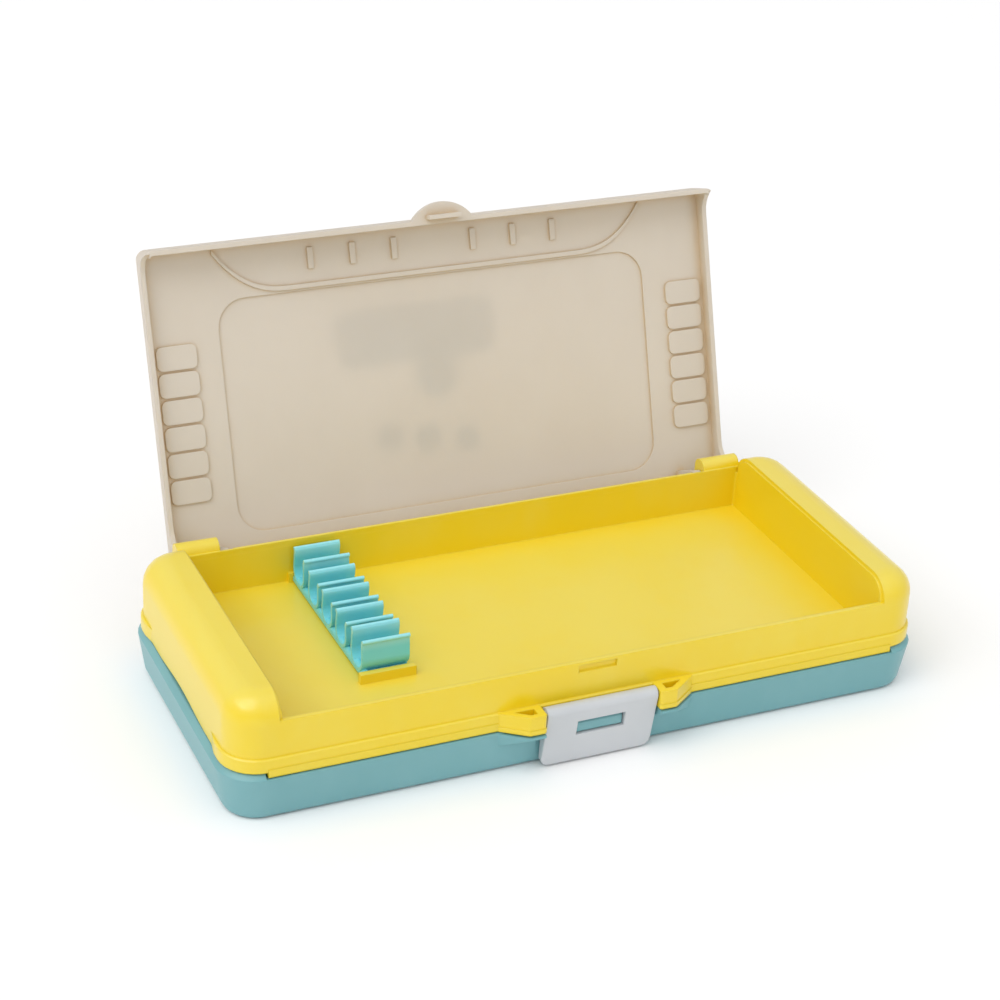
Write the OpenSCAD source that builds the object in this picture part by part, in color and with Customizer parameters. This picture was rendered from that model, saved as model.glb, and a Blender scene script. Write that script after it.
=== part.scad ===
// Two-deck plastic pencil case: base tray, hinged upper tray, hinged lid,
// swinging latch plate and tilting pencil rack. Millimetres, base underside at z = 0,
// +X along the length, -Y towards the latch, +Z up. The lid is drawn standing open.

/* [Case] */
// length over the flange of the upper tray
body_l = 220; // [190:1:240]
// depth over the flange, front to back
body_w = 93.5; // [80:0.5:110]
// plan radius of the four corners
corner_r = 11; // [6:0.5:16]
// wall thickness of the mouldings
wall = 1.6; // [1.2:0.1:2.4]

/* [Base tray] */
// height of the widest line of the rim
rim_z = 14.3; // [12:0.1:18]
// how far the rim stands out past the flange
rim_out = 0.9; // [0.4:0.1:1.5]
// how far the foot of the wall is drawn in from the flange line
foot_in = 0.9; // [0.5:0.1:3]
// thickness of the base floor
base_floor = 1.8; // [1.2:0.1:3]
// height of the locating lip inside the upper tray
lip_z = 17.3; // [16:0.1:17.6]
// how far the compartment wall is set in from the flange line
bay_in = 3.8; // [3.2:0.1:5]

/* [Upper tray] */
// underside of the skirt
skirt_z = 16.3; // [15:0.1:18]
// top of the flange
flange_z = 20.5; // [18:0.1:22]
// how far the walls are set in from the flange
wall_in = 0.8; // [0.4:0.1:2]
// height of the compartment floor
floor_z = 19.4; // [18:0.1:22]
// top of the front wall
front_z = 31.7; // [28:0.1:34]
// top of the back wall
back_z = 33.6; // [30:0.1:36]
// top of the end shoulders
shoulder_z = 38.7; // [34:0.1:42]
// rounding over the shoulders
crown_r = 8; // [4:0.5:10]
// half length of the compartment
bay_x = 94.7; // [80:0.1:98]
// depth of the shallow finger scoop in each end, at the flange
scoop_d = 2.9; // [0:0.1:3.5]
// height at which the scoop runs out
scoop_top = 33; // [26:0.5:36]
// how far the base rim follows the scoop
rim_scoop = 1.7; // [0:0.1:2.5]
// height of the arch in the middle of each end skirt
arch_h = 1.4; // [0:0.1:3]

/* [Lid] */
// angle at which the open lid rests on its stop
lid_open = 109; // [90:1:120]
// height of the closed lid's top face
lid_top = 43.2; // [40:0.1:48]
// lid hinge axis, depth
lid_axis_y = 47.1; // [46:0.1:50]
// lid hinge axis, height
lid_axis_z = 30.9; // [29:0.1:34]
// height of the raised pads and ribs inside the lid
pad_h = 0.8; // [0.2:0.1:1]
// number of grip pads at each end
pad_n = 6; // [3:1:8]

/* [Latch] */
// width of the latch plate
latch_w = 35; // [24:1:50]
// thickness of the latch plate
latch_t = 1.7; // [1.2:0.1:2.5]
// lower edge of the latch plate
latch_z0 = 0.8; // [0.8:0.1:4]
// width of the window the base lug shows through
window_w = 15.2; // [10:0.1:20]
// height of the window
window_h = 4.9; // [3:0.1:8]

/* [Pencil rack] */
// number of pencil cradles
cradle_n = 5; // [3:1:6]
// spacing of the middle cradles
cradle_pitch = 11.7; // [10:0.1:14]
// extra spacing and opening of the end cradles
end_extra = 1.2; // [0:0.1:2]
// length of each cradle along the pencil
cradle_l = 14.6; // [10:0.1:25]
// inside radius of the cradle bottom
cradle_r = 3.6; // [3:0.1:5]
// wall thickness of a cradle
cradle_t = 0.95; // [0.7:0.05:1.5]

/* [Part shown] */
// one node's name, or all

/* [Hidden] */
eps = 0.01;
fine = 32;
gap = 0.2;
half_w = body_w / 2;
scoop_c = 33;
scoop_fn = 160;
scoop_r = (pow(scoop_c, 2) + pow(scoop_d, 2)) / (2 * scoop_d);
scoop_lean = atan(scoop_d / (scoop_top - flange_z));
rim_r = (pow(scoop_c, 2) + pow(rim_scoop, 2)) / (2 * rim_scoop);
rim_lean = atan(rim_scoop / (rim_z - 3));
face_y = half_w - wall_in;
bay_y = face_y - wall;
bay_r = 0.8;
tray_under = floor_z - wall;
// lower hinge
deck_y = half_w + 3.1;
deck_z = 15.2;
deck_x = 60;
deck_lug_w = 12;
deck_lug_r = 2.2;
deck_ear_t = 3;
deck_pin_r = 1.4;
deck_pin_l = 2.2;
// lid hinge
knuckle_l = 12;
knuckle_back = lid_axis_y + 4.2;
knuckle_low = lid_axis_z - 4.4;
knuckle_top = lid_axis_z + 5.3;
knuckle_r = 3;
knuckle_foot_r = 2;
knuckle_sweep = 6;
ear_wall = 0.65;
lid_pin_r = 1.1;
lid_pin_l = 4;
lid_ear_t = 2.8;
lid_ear_r = 1.9;
run = 0.05;
lid_reach_back = 4.1;
stop_gap = 0.15;
stop_h = (face_y + stop_gap - lid_axis_y - lid_reach_back * cos(lid_open)) / sin(lid_open);
lid_hx = bay_x + 0.5;
ledge_in = 1;
ledge_x = bay_x + 0.7;
lid_t = 1.6;
lid_back = lid_axis_y + lid_reach_back;
lid_low = front_z + gap;
lid_edge_r = 2;
lid_corner_r = 3;
tab_r = 12.5;
tab_out = 5.2;
catch_w = 10.8;
slot_w = 12;
slot_h = 2.2;
slot_d = 0.8;
panel_x = 72;
panel_y0 = lid_axis_y - 75.3;
panel_y1 = lid_axis_y - 3;
panel_r = 9;
raise = 0.6;
pad_x = 79.8;
pad_l = 12.6;
pad_w = 7.4;
pad_r = 1.8;
pad_pitch = 8.2;
rib_w = 1.8;
sweep_w = 1.4;
sweep_h = 0.7;
print_t = 0.15;
rib_pitch = 13.8;
// latch
latch_y = -(half_w + 2.5);
latch_z = 19;
latch_r = 2.1;
latch_corner_r = 2.6;
latch_foot_y = -(half_w + 1.9);
latch_pin_r = 1.1;
latch_pin_l = 1.5;
window_z = 10.5;
lug_out = 2.7;
ear_x = latch_w / 2 + 0.5;
ear_l = 13;
ear_out = 5.5;
ear_round = 1.1;
ear_pocket_l = 6;
strip_x = 99;
strip_z = 14.8;
strip_out = 0.3;
// rack
rack_x0 = -60.2;
rack_y = 13.4;
rack_axis_x = rack_x0 + 1.2;
rack_axis_z = floor_z + 1.9;
rack_pin_r = 0.85;
strap_t = 1.2;
strap_z = floor_z + 0.75;
cradle_top = 31;
bead_r = 0.62;
lug_t = 2;
lug_x0 = rack_x0 - 1.2;
lug_l = 17.2;
lug_z = floor_z + 3.1;
rack_half = (cradle_n - 1) / 2 * cradle_pitch + end_extra + cradle_r + cradle_t + 0.3;
lug_gap = 0.25;

yellow = [0.93, 0.82, 0.30];
teal = [0.49, 0.69, 0.71];
cream = [0.86, 0.82, 0.75];
cyan_c = [0.36, 0.76, 0.82];
pale_grey = [0.82, 0.83, 0.85];
print_c = [0.62, 0.68, 0.74];

// plan outline set in from the flange line by i
module plan(i) {
    r = max(corner_r - i, 2);
    offset(r = r, $fn = fine) square([body_l - 2 * (i + r), body_w - 2 * (i + r)], center = true);
}
// solid whose corners at +-cx, y0 and y1 are turned from the profile pts
module turned(pts, cx, y0, y1) {
    hull() for (x = [-cx, cx], y = [y0, y1])
        translate([x, y, 0]) rotate_extrude($fn = fine) polygon(pts);
}
module turned_case(pts) {
    turned(pts, body_l / 2 - corner_r, -(half_w - corner_r), half_w - corner_r);
}
module box(a, b) { translate(a) cube(b - a); }
// extrude a Y-Z outline along X from x0 to x1
module along_x(x0, x1) {
    translate([x0, 0, 0]) rotate([90, 0, 90]) linear_extrude(x1 - x0) children();
}
module rod_x(x0, x1, y, z, r) {
    translate([x0, y, z]) rotate([0, 90, 0]) cylinder(h = x1 - x0, r = r, $fn = fine);
}
module both() { children(); mirror([1, 0, 0]) children(); }

// body of the upper tray with its rounded crown, drawn in by e
module crown(e, z0) {
    r = crown_r - e;
    flat = corner_r - wall_in - crown_r;
    turned_case(concat([[0, z0], [flat + r, z0]],
        [for (a = [0:15:90]) [flat + r * cos(a), shoulder_z - crown_r + r * sin(a)]],
        [[0, shoulder_z - e]]));
}

// long hollow curve of the finger scoop, set out by grow and leaning by lean
module scoop(grow, lean) {
    translate([body_l / 2 - scoop_d + scoop_r, 0, flange_z]) rotate([0, lean, 0])
        translate([0, 0, -20]) cylinder(h = 60, r = scoop_r + grow, $fn = scoop_fn);
}
module rim_scoop_cut() {
    translate([body_l / 2 + rim_out - rim_scoop + rim_r, 0, rim_z]) rotate([0, -rim_lean, 0])
        translate([0, 0, -20]) cylinder(h = 40, r = rim_r, $fn = scoop_fn);
}

// space up inside one shoulder
module shoulder_hollow() {
    x0 = bay_x + wall;
    x1 = body_l / 2 - wall_in - wall - 0.2;
    y1 = bay_y - 0.2;
    r = corner_r - wall_in - wall;
    top = shoulder_z - wall;
    intersection() {
        hull() {
            for (s = [-1, 1]) translate([x1 - r, s * (y1 - r), 10]) cylinder(h = top - 15.5, r = r, $fn = fine);
            box([x0 - 6, -y1 + 6, top - 1], [x1 - 6, y1 - 6, top]);
        }
        difference() {
            box([x0, -body_w, 0], [body_l, body_w, 60]);
            scoop(wall_in + wall, scoop_lean);
        }
    }
}

// ---------- base tray ----------
module base_wall_form() {
    r = corner_r - foot_in;
    turned_case([[0, 0], [r - 2.4, 0], [r - 0.8, 0.8], [r, 2.4], [corner_r + rim_out, rim_z],
                 [corner_r + rim_out - 0.4, rim_z + 0.5], [corner_r - wall_in, rim_z + 1.5],
                 [0, rim_z + 1.5]]);
}
module ear_plan(grow) {
    x0 = ear_x - grow;
    y0 = -(half_w - 2);
    offset(r = ear_round, $fn = 24) offset(delta = -ear_round)
        polygon([[x0, y0], [x0, -(half_w + ear_out + grow)], [x0 + 5.2 + grow, -(half_w + ear_out + grow)],
                 [x0 + ear_l + 2 * grow, -half_w], [x0 + ear_l + 2 * grow, y0]]);
}
module base_tray() color(teal) {
    difference() {
        union() {
            difference() {
                union() {
                    difference() {
                        base_wall_form();
                        both() rim_scoop_cut();
                    }
                    difference() {
                        translate([0, 0, rim_z]) linear_extrude(lip_z - rim_z) plan(wall_in + wall + 0.3);
                        both() scoop(wall_in + wall + 0.3, 0);
                    }
                    // swellings under the two latch ears
                    both() hull() {
                        translate([0, 0, rim_z - 0.9]) linear_extrude(0.8) intersection() {
                            offset(delta = 0.7) ear_plan(0);
                            translate([ear_x, -body_w]) square([ear_l + 4, body_w]);
                        }
                        box([ear_x, -(half_w - 0.4), rim_z - 5], [ear_x + ear_l, -(half_w - 3), rim_z - 4]);
                    }
                }
                // inside of the lower compartment
                turned_case([[0, base_floor], [corner_r - bay_in - 1.6, base_floor],
                             [corner_r - bay_in, base_floor + 1.6], [corner_r - bay_in, rim_z - 2],
                             [0, rim_z - 2]]);
                difference() {
                    translate([0, 0, rim_z - 2.6]) linear_extrude(10) plan(bay_in + 0.12);
                    both() scoop(bay_in + 0.12, 0);
                }
                // front ledge lies lower, below the strip of the upper tray
                box([-(strip_x + 0.6), -body_w, strip_z - 0.35], [strip_x + 0.6, -(bay_y + 0.35), 30]);
                // flat seat behind the latch plate
                box([-(ear_x + 0.3), -body_w, -1], [ear_x + 0.3, -(half_w - 0.3), 30]);
                // room for the tray's hinge lugs
                both() box([deck_x - deck_lug_w / 2 - gap, half_w - 0.5, 10.5],
                           [deck_x + deck_lug_w / 2 + gap, half_w + 9, 30]);
            }
            // lug shown in the latch window
            along_x(-window_w / 2 + 0.4, window_w / 2 - 0.4)
                polygon([[-(half_w - 1), window_z + 0.4], [-(half_w + lug_out), window_z + 0.45],
                         [-(half_w + lug_out), window_z + 3.2], [-(half_w + lug_out - 0.9), window_z + 4.1],
                         [-(half_w - 1), window_z + 4.1]]);
            // outer ears of the lower hinge
            both() for (s = [-1, 1]) deck_ear(deck_x + s * (deck_lug_w / 2 + gap + deck_ear_t / 2));
        }
        both() for (s = [-1, 1]) {
            x = deck_x + s * (deck_lug_w / 2 + gap + 1.2);
            rod_x(x - 1.3, x + 1.3, deck_y, deck_z, deck_pin_r + run);
        }
    }
}
module deck_ear(x) {
    along_x(x - deck_ear_t / 2, x + deck_ear_t / 2) {
        translate([deck_y, deck_z]) circle(r = deck_lug_r + 0.2, $fn = fine);
        polygon([[half_w - 1.2, 4.5], [half_w - 1.2, rim_z], [deck_y, deck_z + deck_lug_r + 0.2],
                 [deck_y + deck_lug_r + 0.1, deck_z - 0.5], [half_w - 0.6, 4.5]]);
    }
}

// ---------- upper tray ----------
module knuckle_outline() {
    front = bay_y + 0.8;
    hull() {
        translate([front + knuckle_r, knuckle_top - knuckle_r]) circle(r = knuckle_r, $fn = fine);
        translate([knuckle_back - knuckle_r, knuckle_top - knuckle_r]) circle(r = knuckle_r, $fn = fine);
        translate([knuckle_back - knuckle_foot_r, knuckle_low + knuckle_foot_r])
            circle(r = knuckle_foot_r, $fn = fine);
        translate([face_y - 1, knuckle_low - 4]) square([0.6, 1]);
        translate([front, knuckle_low]) square([0.6, 1]);
    }
}
module tray_shell() {
    difference() {
        union() {
            difference() {
                crown(0, skirt_z);
                both() scoop(wall_in, scoop_lean);
                // middle span is cut down to the walls, leaving a stepped edge for the lid
                box([-ledge_x, -body_w, front_z], [ledge_x, bay_y + run, 60]);
                box([-ledge_x, -body_w, back_z], [ledge_x, body_w, 60]);
            }
            both() intersection() {
                crown(ledge_in, skirt_z);
                box([bay_x - 0.3, -body_w, skirt_z + 1], [ledge_x + 0.6, bay_y - 0.5, 60]);
            }
            // flange round the foot
            difference() {
                turned_case([[0, skirt_z], [corner_r, skirt_z], [corner_r, flange_z - 0.4],
                             [corner_r - 0.4, flange_z], [0, flange_z]]);
                both() scoop(0, 0);
            }
            box([-strip_x, -(half_w + strip_out), strip_z], [strip_x, -(bay_y + 0.7), skirt_z + 1]);
            both() ear();
            both() deck_lug();
        }
        // compartment
        translate([0, 0, floor_z]) linear_extrude(30) offset(r = bay_r, $fn = 16)
            square([2 * (bay_x - bay_r), 2 * (bay_y - bay_r)], center = true);
        // hollow below the floor and up inside both shoulders
        difference() {
            translate([0, 0, -1]) linear_extrude(tray_under + 1) plan(wall_in + wall);
            both() scoop(wall_in + wall, 0);
        }
        both() shoulder_hollow();
        // arches in the end skirts
        both() along_x(bay_x + 8, body_l)
            polygon([for (i = [-12:12]) [i * 1.9, skirt_z + arch_h * pow(cos(i * 7.5), 2)],
                     [22.8, skirt_z - 2], [-22.8, skirt_z - 2]]);
        // catch slot in the front wall
        box([-slot_w / 2, -(face_y + 1), front_z - 1 - slot_h],
            [slot_w / 2, -(face_y - slot_d), front_z - 1]);
        // room for the lid ears beside the knuckles
        both() box([bay_x - knuckle_l - 4.2, bay_y + ear_wall, lid_axis_z - lid_ear_r - gap],
                   [bay_x - knuckle_l, body_w, 60]);
        // blind bores for the latch pins
        both() rod_x(ear_x - 1, ear_x + latch_pin_l + 0.4, latch_y, latch_z, latch_pin_r + run);
    }
}
module upper_tray() color(yellow) {
    // knuckles for the lid, with blind bores
    difference() {
        union() {
            tray_shell();
            both() along_x(bay_x - knuckle_l, bay_x + 1.1) knuckle_outline();
        }
        both() lid_pin_bore();
    }
    // lugs that carry the rack
    difference() {
        for (s = [-1, 1]) rack_lug(s);
        rod_y(rack_y - rack_half - lug_gap - 1.5, rack_y + rack_half + lug_gap + 1.5,
              rack_pin_r + run);
    }
}
module lid_pin_bore() {
    rod_x(bay_x - knuckle_l - 1, bay_x - knuckle_l + lid_pin_l + 0.6,
          lid_axis_y, lid_axis_z, lid_pin_r + run);
}
module rod_y(y0, y1, r) {
    translate([rack_axis_x, y0, rack_axis_z]) rotate([-90, 0, 0])
        cylinder(h = y1 - y0, r = r, $fn = fine);
}
module rack_lug(s) {
    y0 = rack_y + s * (rack_half + lug_gap);
    y1 = s > 0 ? bay_y + 0.2 : y0 - lug_t;
    box([lug_x0, min(y0, y1), floor_z - 0.2], [lug_x0 + lug_l, max(y0, y1), lug_z]);
}
module ear() {
    difference() {
        union() {
            translate([0, 0, strip_z]) linear_extrude(flange_z - strip_z) ear_plan(0);
            translate([0, 0, strip_z]) linear_extrude(skirt_z - strip_z) intersection() {
                offset(delta = strip_out) ear_plan(0);
                translate([ear_x, -body_w]) square([ear_l + 4, body_w]);
            }
        }
        // pocket open at the top
        translate([0, 0, flange_z - 3.2]) linear_extrude(4)
            polygon([[ear_x + 2.4, -(half_w + 3.6)], [ear_x + 4.4, -(half_w + 3.6)],
                     [ear_x + 2.4 + ear_pocket_l, -(half_w + 0.9)], [ear_x + 2.4, -(half_w + 0.9)]]);
        // keep the front wall and the space behind it clear
        box([0, -(half_w - wall), 0], [60, 0, 60]);
    }
}
module deck_lug() {
    along_x(deck_x - deck_lug_w / 2, deck_x + deck_lug_w / 2) {
        translate([deck_y, deck_z]) circle(r = deck_lug_r, $fn = fine);
        polygon([[face_y - 0.8, skirt_z + 0.4], [half_w + 0.2, skirt_z + 0.2],
                 [deck_y - deck_lug_r + 0.2, deck_z + 0.6], [deck_y, deck_z - deck_lug_r + 0.4],
                 [deck_y + deck_lug_r, deck_z], [deck_y + 0.6, deck_z + deck_lug_r],
                 [half_w - 0.4, flange_z + 2], [face_y - 0.8, flange_z + 2]]);
    }
    for (s = [-1, 1]) {
        x = deck_x + s * deck_lug_w / 2;
        rod_x(min(x, x + s * deck_pin_l), max(x, x + s * deck_pin_l), deck_y, deck_z, deck_pin_r);
    }
}

// ---------- lid, drawn closed then swung open ----------
module swung() {
    translate([0, lid_axis_y, lid_axis_z]) rotate([-lid_open, 0, 0])
        translate([0, -lid_axis_y, -lid_axis_z]) children();
}
module lid_outline(i) {
    r = max(lid_corner_r - i, 0.9);
    translate([-lid_hx + i + r, -(face_y - i - r)])
        offset(r = r, $fn = fine) square([2 * (lid_hx - i - r), lid_back + face_y - 2 * (i + r)]);
}
module lid_form() {
    r = lid_edge_r;
    turned(concat([[0, lid_low], [lid_corner_r, lid_low]],
                  [for (a = [0:22.5:90]) [lid_corner_r - r + r * cos(a), lid_top - r + r * sin(a)]],
                  [[0, lid_top]]),
           lid_hx - lid_corner_r, -(face_y - lid_corner_r), lid_back - lid_corner_r);
}
module panel_plan(i) {
    translate([0, (panel_y0 + panel_y1) / 2]) offset(r = panel_r - i, $fn = fine)
        square([2 * (panel_x - panel_r), panel_y1 - panel_y0 - 2 * panel_r], center = true);
}
function sweep_y(x) = lid_axis_y - 76 - 14 * pow(max(abs(x) - 48, 0) / 24.5, 2.6);
module lid_closed() {
    under = lid_top - lid_t;
    difference() {
        union() {
            difference() {
                lid_form();
                linear_extrude(under) lid_outline(lid_t - 0.1);
                // ends follow the rounded shoulders
                both() intersection() {
                    crown(ledge_in - gap, 0);
                    box([lid_hx - lid_t - 0.2, -body_w, 0], [lid_hx + 5, body_w, 60]);
                }
                // clear of the knuckles at both ends of the back
                both() box([bay_x - knuckle_l - 0.4, lid_axis_y, 0], [lid_hx + 5, body_w, lid_axis_z + knuckle_sweep]);
                both() rod_x(bay_x - knuckle_l - 0.4, lid_hx + 5, lid_axis_y, lid_axis_z, knuckle_sweep);
            }
            // back wall comes down lower between the ears and acts as the stop
            box([-(bay_x - knuckle_l - 0.6), lid_back - 1.3, lid_axis_z + stop_h],
                [bay_x - knuckle_l - 0.6, lid_back, lid_low + 1]);
            both() lid_ear();
            // lifting tab on the lip
            intersection() {
                translate([0, -face_y + tab_r - tab_out, lid_low]) cylinder(h = 1.7, r = tab_r, $fn = 64);
                box([-20, -(face_y + 9), 0], [20, -face_y + 0.8, 60]);
            }
            // tongue of the catch
            box([-catch_w / 2, -(face_y + 1.5), front_z - 3.1], [catch_w / 2, -(face_y + gap), lid_low + 0.8]);
            // picture panel stands out of the top face
            translate([0, 0, lid_top - eps]) linear_extrude(raise) panel_plan(0);
            // grip pads, outside and inside
            both() for (i = [0:pad_n - 1]) pad(i, under);
            // short ribs inside the front edge
            both() for (i = [0:2])
                box([13.3 + i * rib_pitch - rib_w / 2, lid_axis_y - 88.3, under - pad_h],
                    [13.3 + i * rib_pitch + rib_w / 2, lid_axis_y - 81.7, under + eps]);
            // curved rib inside
            translate([0, 0, under - sweep_h]) linear_extrude(sweep_h + eps)
                polygon(concat([for (i = [-36:36]) [i * 2, sweep_y(i * 2)]],
                               [for (i = [36:-1:-36]) [i * 2, sweep_y(i * 2) - sweep_w]]));
        }
        // shallow recess behind the panel
        translate([0, 0, under - 2]) linear_extrude(2 + raise) panel_plan(eps);
    }
}
module pad(i, under) {
    y0 = lid_axis_y - 63.5 + i * pad_pitch;
    translate([pad_x, y0, under - pad_h]) linear_extrude(pad_h + eps) pad_plan();
    translate([pad_x, y0, lid_top - eps]) linear_extrude(raise) pad_plan();
}
module pad_plan() {
    offset(r = pad_r, $fn = 16) translate([pad_r, pad_r]) square([pad_l - 2 * pad_r, pad_w - 2 * pad_r]);
}
module lid_ear() {
    x1 = bay_x - knuckle_l - 0.3;
    along_x(x1 - lid_ear_t, x1) hull() {
        translate([lid_axis_y, lid_axis_z]) circle(r = lid_ear_r, $fn = fine);
        translate([lid_axis_y - 0.6, lid_top - lid_t]) square([4.4, 0.6]);
    }
    rod_x(x1 - eps, x1 + lid_pin_l + 0.3, lid_axis_y, lid_axis_z, lid_pin_r);
}
module lid() color(cream) swung() lid_closed();

// plain shapes printed on the outside of the panel
module lid_print() color(print_c) swung() translate([0, 0, lid_top + raise - eps]) linear_extrude(print_t) {
    translate([-8, lid_axis_y - 58]) offset(r = 5, $fn = fine) square([44, 8], center = true);
    translate([-2, lid_axis_y - 44]) circle(r = 7.5, $fn = fine);
    for (i = [0:2]) translate([-20 + i * 13, lid_axis_y - 26 + i * 2]) circle(r = 4.6, $fn = fine);
}

// ---------- latch plate ----------
module latch_plate() color(pale_grey) {
    r = latch_corner_r;
    difference() {
        union() {
            hull() {
                rod_x(-latch_w / 2, latch_w / 2, latch_y, latch_z, latch_r);
                for (s = [-1, 1]) translate([s * (latch_w / 2 - r), latch_foot_y + latch_t, latch_z0 + r])
                    rotate([90, 0, 0]) cylinder(h = latch_t, r = r, $fn = fine);
            }
            rod_x(-(ear_x + latch_pin_l), ear_x + latch_pin_l, latch_y, latch_z, latch_pin_r);
        }
        // window
        box([-window_w / 2, latch_y - 6, window_z], [window_w / 2, latch_y + 6, window_z + window_h]);
    }
}

// ---------- pencil rack ----------
function cradle_y(i) = rack_y + (i - (cradle_n - 1) / 2) * cradle_pitch
    + (i == 0 ? -end_extra : 0) + (i == cradle_n - 1 ? end_extra : 0);
module cradle_outline(wide, top) {
    zc = strap_z + strap_t + cradle_r + cradle_t - 0.5;
    ri = cradle_r + wide;
    ro = ri + cradle_t;
    difference() {
        union() {
            translate([0, zc]) circle(r = ro, $fn = fine);
            polygon([[-ro, zc], [ro, zc], [ro - 0.5, top - 1], [ro - 0.1, top - bead_r],
                     [-(ro - 0.1), top - bead_r], [-(ro - 0.5), top - 1]]);
        }
        translate([0, zc]) circle(r = ri, $fn = fine);
        polygon([[-ri, zc], [ri, zc], [ri - 0.55, top - 1.4], [ri - 0.1, top + eps],
                 [-(ri - 0.1), top + eps], [-(ri - 0.55), top - 1.4]]);
    }
    // rounded bead along each lip
    for (s = [-1, 1]) translate([s * ((ri + ro) / 2 - 0.05), top - bead_r]) circle(r = bead_r, $fn = 16);
}
module pencil_rack() color(cyan_c) {
    box([rack_x0, rack_y - rack_half, strap_z], [rack_x0 + cradle_l, rack_y + rack_half, strap_z + strap_t]);
    along_x(rack_x0, rack_x0 + cradle_l) for (i = [0:cradle_n - 1]) {
        last = i == 0 || i == cradle_n - 1;
        translate([cradle_y(i), 0]) cradle_outline(last ? 0.3 : 0, cradle_top + (last ? 1.2 : 0));
    }
    // barrel along the tilting edge, with a stub pin at each end
    rod_y(rack_y - rack_half, rack_y + rack_half, 1.1);
    rod_y(rack_y - rack_half - lug_gap - 1.1, rack_y + rack_half + lug_gap + 1.1, rack_pin_r);
}

base_tray();
upper_tray();
lid();
lid_print();
latch_plate();
pencil_rack();
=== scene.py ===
import math
import bpy
from mathutils import Matrix, Vector


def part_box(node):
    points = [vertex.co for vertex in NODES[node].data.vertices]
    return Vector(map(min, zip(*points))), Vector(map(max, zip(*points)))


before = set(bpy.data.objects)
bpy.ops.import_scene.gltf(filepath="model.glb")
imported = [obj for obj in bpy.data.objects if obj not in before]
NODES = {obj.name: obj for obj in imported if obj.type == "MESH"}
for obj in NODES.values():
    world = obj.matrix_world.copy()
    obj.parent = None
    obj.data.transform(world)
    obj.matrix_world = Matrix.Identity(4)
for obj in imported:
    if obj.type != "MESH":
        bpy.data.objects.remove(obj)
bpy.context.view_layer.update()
scene = bpy.context.scene
scene.view_settings.view_transform = "Standard"
scene.view_settings.look = "None"

MM = 0.001
WHITE = (1, 1, 1)

# camera: place in mm, then the way it looks in degrees
CAMERA_PLACE = (-275.143, -551.903, 387.343)
CAMERA_AZIMUTH = -25.4871
CAMERA_ELEVATION = 28.0333
CAMERA_ROLL = 3.3278
CAMERA_LENS = 85.493
SENSOR_WIDTH = 36

# studio
WORLD_STRENGTH = 0.67
FLOOR_HALF_SIZE = 8
FLOOR_COLOUR = (0.98, 0.98, 0.98)

# polypropylene, the same for every piece
PLASTIC_IOR = 1.49
COAT_ROUGHNESS = 0.22
SCATTER_DEPTH = 2 * MM
FINE_SKIN = 0.18
WAVE_STRENGTH = 0.35
WAVE_DEPTH = 0.25 * MM
SHADER_SAMPLES = 6

# lips of the rack: how far below the top the painted glow band starts and ends; its paler colour stands in
# for light passing through the thin lips
LIP_START = 4 * MM
LIP_END = 1.2 * MM
LIP_GLOW_COLOUR = (0.42, 0.83, 0.88)

# lid: light that passes through its thin wall
LID_GLOW = (0.86, 0.80, 0.70)
LID_GLOW_SHARE = 0.27

# shading smooths over edges flatter than this, in degrees
SMOOTH_ANGLE = 31
WELD_DISTANCE = 0.002 * MM
FLAT_FACE_WEIGHT = 80


# ---------- camera ----------
def make_camera():
    data = bpy.data.cameras.new("view")
    data.sensor_width = SENSOR_WIDTH
    data.lens = CAMERA_LENS
    data.clip_start, data.clip_end = 0.05, 60
    cam = bpy.data.objects.new("view", data)
    scene.collection.objects.link(cam)
    azimuth, tilt, roll = (math.radians(a) for a in
                           (CAMERA_AZIMUTH, 90 - CAMERA_ELEVATION, CAMERA_ROLL))
    turn = (Matrix.Rotation(azimuth, 4, "Z") @ Matrix.Rotation(tilt, 4, "X")
            @ Matrix.Rotation(roll, 4, "Z"))
    cam.matrix_world = Matrix.Translation(Vector(CAMERA_PLACE) * MM) @ turn
    scene.camera = cam


# ---------- light and floor ----------
def place_light(name, data, toward, centre=(0, 0, 0)):
    """Link a light that shines from the direction toward."""
    obj = bpy.data.objects.new(name, data)
    scene.collection.objects.link(obj)
    obj.location = centre
    obj.rotation_mode = "QUATERNION"
    obj.rotation_quaternion = toward.to_track_quat("Z", "Y")


def sun(name, strength, spread, azimuth, elevation):
    data = bpy.data.lights.new(name, "SUN")
    data.energy = strength
    data.angle = math.radians(spread)
    a, e = math.radians(azimuth), math.radians(elevation)
    place_light(name, data, Vector((math.sin(a) * math.cos(e), -math.cos(a) * math.cos(e), math.sin(e))))


def softbox(name, power, size, centre, target, colour):
    data = bpy.data.lights.new(name, "AREA")
    data.shape = "RECTANGLE"
    data.size, data.size_y = size
    data.energy = power
    data.color = colour
    place_light(name, data, Vector(centre) - Vector(target), centre)


def make_light():
    world = bpy.data.worlds.new("studio")
    scene.world = world
    world.use_nodes = True
    back = world.node_tree.nodes["Background"]
    back.inputs["Color"].default_value = (*WHITE, 1)
    back.inputs["Strength"].default_value = WORLD_STRENGTH
    sun("key", strength=1.05, spread=45, azimuth=-60, elevation=58)
    sun("fill", strength=0.30, spread=80, azimuth=50, elevation=40)
    softbox("strip", power=1.6, size=(0.9, 0.25), centre=(-0.9, -0.1, 0.75), target=(0, 0, 0.02),
            colour=(1, 0.985, 0.965))


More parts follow.
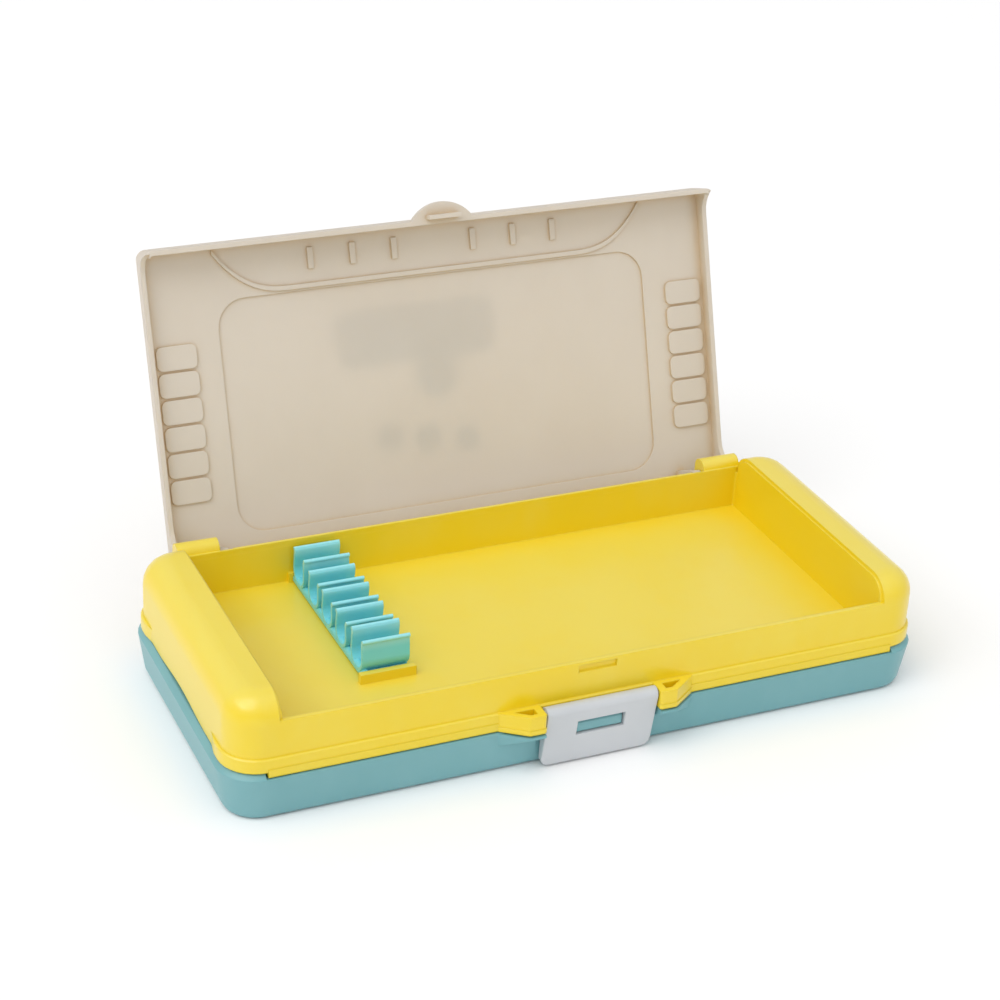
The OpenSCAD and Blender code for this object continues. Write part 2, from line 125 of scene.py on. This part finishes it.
def make_floor():
    mesh = bpy.data.meshes.new("floor")
    r = FLOOR_HALF_SIZE
    mesh.from_pydata([(-r, -r, 0), (r, -r, 0), (r, r, 0), (-r, r, 0)], [], [(0, 1, 2, 3)])
    floor = bpy.data.objects.new("floor", mesh)
    scene.collection.objects.link(floor)
    mat = bpy.data.materials.new("floor_paper")
    mat.use_nodes = True
    shader = mat.node_tree.nodes["Principled BSDF"]
    shader.inputs["Base Color"].default_value = (*FLOOR_COLOUR, 1)
    shader.inputs["Roughness"].default_value = 0.75
    shader.inputs["Specular IOR Level"].default_value = 0.15
    mesh.materials.append(mat)


# ---------- materials ----------
class Nodes:
    """Short hand for building one material's node tree."""

    def __init__(self, name):
        self.mat = bpy.data.materials.new(name)
        self.mat.use_nodes = True
        self.tree = self.mat.node_tree
        self.shader = self.tree.nodes["Principled BSDF"]
        self.coord = self.new("ShaderNodeTexCoord").outputs["Object"]

    def new(self, kind, **values):
        node = self.tree.nodes.new(kind)
        for key, value in values.items():
            setattr(node, key, value)
        return node

    def link(self, a, b):
        self.tree.links.new(a, b)

    def feed(self, value, socket):
        """Link an output to a socket, or set a number or a colour on it."""
        if isinstance(value, (int, float)):
            socket.default_value = value
        elif isinstance(value, tuple):
            socket.default_value = (*value, 1)
        else:
            self.link(value, socket)

    def noise(self, scale, detail, rough, seed, stretch=(1, 1, 1)):
        node = self.new("ShaderNodeTexNoise")
        node.inputs["Scale"].default_value = scale
        node.inputs["Detail"].default_value = detail
        node.inputs["Roughness"].default_value = rough
        place = self.new("ShaderNodeMapping")
        place.inputs["Scale"].default_value = stretch
        place.inputs["Location"].default_value = (seed, seed * 0.7, seed * 1.3)
        self.link(self.coord, place.inputs["Vector"])
        self.link(place.outputs["Vector"], node.inputs["Vector"])
        return node.outputs["Fac"]

    def maths(self, kind, a, b):
        node = self.new("ShaderNodeMath", operation=kind)
        self.feed(a, node.inputs[0])
        self.feed(b, node.inputs[1])
        return node.outputs[0]

    def span(self, value, lo, hi, to_lo=0.0, to_hi=1.0, smooth=False):
        """Map lo..hi to to_lo..to_hi, held at both ends."""
        node = self.new("ShaderNodeMapRange")
        if smooth:
            node.interpolation_type = "SMOOTHSTEP"
        self.link(value, node.inputs["Value"])
        for key, v in (("From Min", lo), ("From Max", hi), ("To Min", to_lo), ("To Max", to_hi)):
            node.inputs[key].default_value = v
        return node.outputs["Result"]

    def mix(self, fac, a, b):
        node = self.new("ShaderNodeMix", data_type="RGBA")
        self.link(fac, node.inputs["Factor"])
        for key, v in (("A", a), ("B", b)):
            self.feed(v, next(s for s in node.inputs if s.name == key and s.type == "RGBA"))
        return next(s for s in node.outputs if s.type == "RGBA")


def drift_and_marks(n, colour, deep, pale, flow):
    """Base colour with a slow drift, flow marks and scuffs; also returns the scuffs."""
    drift = n.noise(scale=9, detail=3, rough=0.55, seed=3.1)
    tint = n.mix(n.span(drift, 0.3, 0.7, smooth=True), deep, colour)
    tint = n.mix(n.span(flow, 0.35, 0.75, to_hi=0.35, smooth=True), tint, pale)
    scuff = n.noise(scale=240, detail=5, rough=0.75, seed=5.3, stretch=(1, 0.12, 1))
    mark = n.span(scuff, 0.66, 0.74, to_hi=0.16)
    return n.mix(mark, tint, pale), mark


def painted_top_sheen(n, tint, pale, sheen_share):
    """Painted sheen: faces that lie upwards are painted paler, in patches, standing in for the reflection of
    the bright sky above; the tint goes by the piece's own up direction.
    """
    facing = n.new("ShaderNodeSeparateXYZ")
    n.link(n.new("ShaderNodeTexCoord").outputs["Normal"], facing.inputs[0])
    upward = n.span(facing.outputs["Z"], 0.35, 0.95, to_hi=sheen_share, smooth=True)
    patch = n.noise(scale=60, detail=3, rough=0.6, seed=2.2)
    sheen_mask = n.maths("MULTIPLY", upward, n.span(patch, 0.25, 0.6, to_lo=0.75, smooth=True))
    return n.mix(sheen_mask, tint, pale)


def painted_corners(n, tint, corner_shade, reach):
    """Painted shade and bounce light: an occlusion mask paints the inside corners and creases a deeper
    colour, standing in for the light that passes from wall to wall.
    """
    shade = n.new("ShaderNodeAmbientOcclusion", samples=SHADER_SAMPLES, only_local=True)
    shade.inputs["Distance"].default_value = reach * MM
    return n.mix(n.span(shade.outputs["AO"], 0.35, 0.97, to_lo=0.8, to_hi=0, smooth=True), tint, corner_shade)


def bump(n, height, normal, strength, distance):
    node = n.new("ShaderNodeBump")
    node.inputs["Strength"].default_value = strength
    node.inputs["Distance"].default_value = distance
    n.link(height, node.inputs["Height"])
    n.link(normal, node.inputs["Normal"])
    return node.outputs["Normal"]


def skin(n, edge, grain):
    """Eased edges, fine skin texture and slow waves, as one normal."""
    ease = n.new("ShaderNodeBevel", samples=SHADER_SAMPLES)
    ease.inputs["Radius"].default_value = edge * MM
    specks = n.noise(scale=1900, detail=2, rough=0.6, seed=1.9)
    fine = bump(n, specks, ease.outputs["Normal"], FINE_SKIN, grain * MM)
    waves = n.noise(scale=22, detail=2, rough=0.4, seed=11.3)
    return bump(n, waves, fine, WAVE_STRENGTH, WAVE_DEPTH)


def plastic(name, colour, deep, pale, rough, edge, grain=0.012, soft=0.0, soft_radius=WHITE,
            coat=0.0, corner_shade=None, reach=3.0, sheen_share=0.0):
    """Moulded polypropylene. edge, grain and reach are in mm."""
    n = Nodes(name)
    flow = n.noise(scale=28, detail=4, rough=0.6, seed=7.7, stretch=(1, 0.35, 0.6))
    n.tint, mark = drift_and_marks(n, colour, deep, pale, flow)
    # painted sheen: paler colour on up-facing faces
    if sheen_share:
        n.tint = painted_top_sheen(n, n.tint, pale, sheen_share)
    # painted shade: corners and creases take a deeper colour
    if corner_shade:
        n.tint = painted_corners(n, n.tint, corner_shade, reach)
    n.link(n.tint, n.shader.inputs["Base Color"])
    base_rough = n.span(flow, 0.2, 0.8, to_lo=rough - 0.05, to_hi=rough + 0.07)
    n.link(n.maths("ADD", base_rough, n.maths("MULTIPLY", mark, 0.6)), n.shader.inputs["Roughness"])
    n.shader.inputs["IOR"].default_value = PLASTIC_IOR
    n.shader.inputs["Coat Weight"].default_value = coat
    n.shader.inputs["Coat Roughness"].default_value = COAT_ROUGHNESS
    if soft:
        n.shader.inputs["Subsurface Weight"].default_value = soft
        n.shader.inputs["Subsurface Radius"].default_value = soft_radius
        n.shader.inputs["Subsurface Scale"].default_value = SCATTER_DEPTH
    n.link(skin(n, edge, grain), n.shader.inputs["Normal"])
    return n


def dress(node, mat):
    """Put one material in every slot of a CAD node."""
    obj = NODES[node]
    if not obj.data.materials:
        obj.data.materials.append(mat)
    for slot in obj.material_slots:
        slot.material = mat


def yellow_tray():
    # paler up-facing faces here are a painted sheen, and the deeper yellow in the inside corners is painted
    # bounce light
    n = plastic("yellow_pp", colour=(0.85, 0.635, 0.014), deep=(0.83, 0.61, 0.008), pale=(0.82, 0.70, 0.125),
                rough=0.31, edge=0.55, soft=0.10, soft_radius=(1.0, 0.7, 0.15),
                coat=0.35, corner_shade=(0.89, 0.665, 0.002), reach=14, sheen_share=0.6)
    dress("upper_tray", n.mat)


def teal_base():
    # darker teal in the corners and creases is painted shade
    n = plastic("teal_pp", colour=(0.172, 0.40, 0.43), deep=(0.155, 0.375, 0.405), pale=(0.27, 0.50, 0.53),
                rough=0.36, edge=0.5, soft=0.08, soft_radius=(0.5, 0.9, 1.0),
                corner_shade=(0.11, 0.33, 0.37), reach=4)
    dress("base_tray", n.mat)


def grey_latch():
    n = plastic("latch_pp", colour=(0.565, 0.59, 0.615), deep=(0.54, 0.565, 0.59), pale=(0.66, 0.68, 0.70),
                rough=0.42, edge=0.45, soft=0.1)
    dress("latch_plate", n.mat)


def blue_rack():
    """The lips of the rack are thin and pass more light; that light is painted in as a paler colour towards
    the top.
    """
    n = plastic("rack_pp", colour=(0.16, 0.66, 0.76), deep=(0.135, 0.61, 0.72), pale=(0.30, 0.75, 0.82),
                rough=0.3, edge=0.25, soft=0.18, soft_radius=(0.4, 0.9, 1.0))
    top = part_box("pencil_rack")[1].z
    place = n.new("ShaderNodeSeparateXYZ")
    n.link(n.coord, place.inputs[0])
    # painted light: the top of each lip is mixed toward a paler blue
    lip_glow = n.span(place.outputs["Z"], top - LIP_START, top - LIP_END, to_hi=0.6, smooth=True)
    n.link(n.mix(lip_glow, n.tint, LIP_GLOW_COLOUR), n.shader.inputs["Base Color"])
    dress("pencil_rack", n.mat)


def cream_lid():
    """The lid's wall is thin, so some light from behind shows through it."""
    # tan in the crevices of the pads and grooves is painted shade
    n = plastic("lid_pp", colour=(0.775, 0.72, 0.64), deep=(0.745, 0.69, 0.605), pale=(0.84, 0.80, 0.735),
                rough=0.4, edge=0.3, grain=0.03, soft=0.15, soft_radius=(1.0, 0.9, 0.75),
                corner_shade=(0.68, 0.50, 0.27), reach=4)
    glow = n.new("ShaderNodeBsdfTranslucent")
    glow.inputs["Color"].default_value = (*LID_GLOW, 1)
    both = n.new("ShaderNodeMixShader")
    both.inputs[0].default_value = LID_GLOW_SHARE
    n.link(n.shader.outputs[0], both.inputs[1])
    n.link(glow.outputs[0], both.inputs[2])
    n.link(both.outputs[0], n.tree.nodes["Material Output"].inputs["Surface"])
    dress("lid", n.mat)


def print_film():
    n = plastic("print_film", colour=(0.42, 0.50, 0.56), deep=(0.36, 0.44, 0.52), pale=(0.5, 0.56, 0.6),
                rough=0.5, edge=0.05)
    dress("lid_print", n.mat)


# ---------- smooth shading ----------
def make_smoother():
    """Node group that joins split corners and shades smooth across edges flatter than SMOOTH_ANGLE."""
    tree = bpy.data.node_groups.new("smooth_by_angle", "GeometryNodeTree")
    tree.interface.new_socket("Geometry", in_out="INPUT", socket_type="NodeSocketGeometry")
    tree.interface.new_socket("Geometry", in_out="OUTPUT", socket_type="NodeSocketGeometry")
    new, link = tree.nodes.new, tree.links.new
    start, end = new("NodeGroupInput"), new("NodeGroupOutput")
    weld = new("GeometryNodeMergeByDistance")
    weld.inputs["Distance"].default_value = WELD_DISTANCE
    plain = new("GeometryNodeRemoveAttribute")
    plain.inputs["Name"].default_value = "custom_normal"
    faces = new("GeometryNodeSetShadeSmooth")
    faces.domain = "FACE"
    faces.inputs["Shade Smooth"].default_value = True
    edges = new("GeometryNodeSetShadeSmooth")
    edges.domain = "EDGE"
    edges.inputs["Shade Smooth"].default_value = False
    bend = new("GeometryNodeInputMeshEdgeAngle")
    steep = new("FunctionNodeCompare")
    steep.data_type, steep.operation = "FLOAT", "GREATER_THAN"
    steep.inputs["B"].default_value = math.radians(SMOOTH_ANGLE)
    link(start.outputs[0], weld.inputs["Geometry"])
    link(weld.outputs["Geometry"], plain.inputs["Geometry"])
    link(plain.outputs["Geometry"], faces.inputs["Geometry"])
    link(faces.outputs["Geometry"], edges.inputs["Geometry"])
    link(bend.outputs["Unsigned Angle"], steep.inputs["A"])
    link(steep.outputs["Result"], edges.inputs["Selection"])
    link(edges.outputs["Geometry"], end.inputs[0])
    return tree


def smooth_cad_nodes():
    tree = make_smoother()
    for obj in NODES.values():
        obj.modifiers.new("smooth", "NODES").node_group = tree
        weight = obj.modifiers.new("flat_faces", "WEIGHTED_NORMAL")
        weight.keep_sharp = True
        weight.weight = FLAT_FACE_WEIGHT


make_camera()
make_light()
make_floor()
for make_material in (yellow_tray, teal_base, grey_latch, blue_rack, cream_lid, print_film):
    make_material()
smooth_cad_nodes()
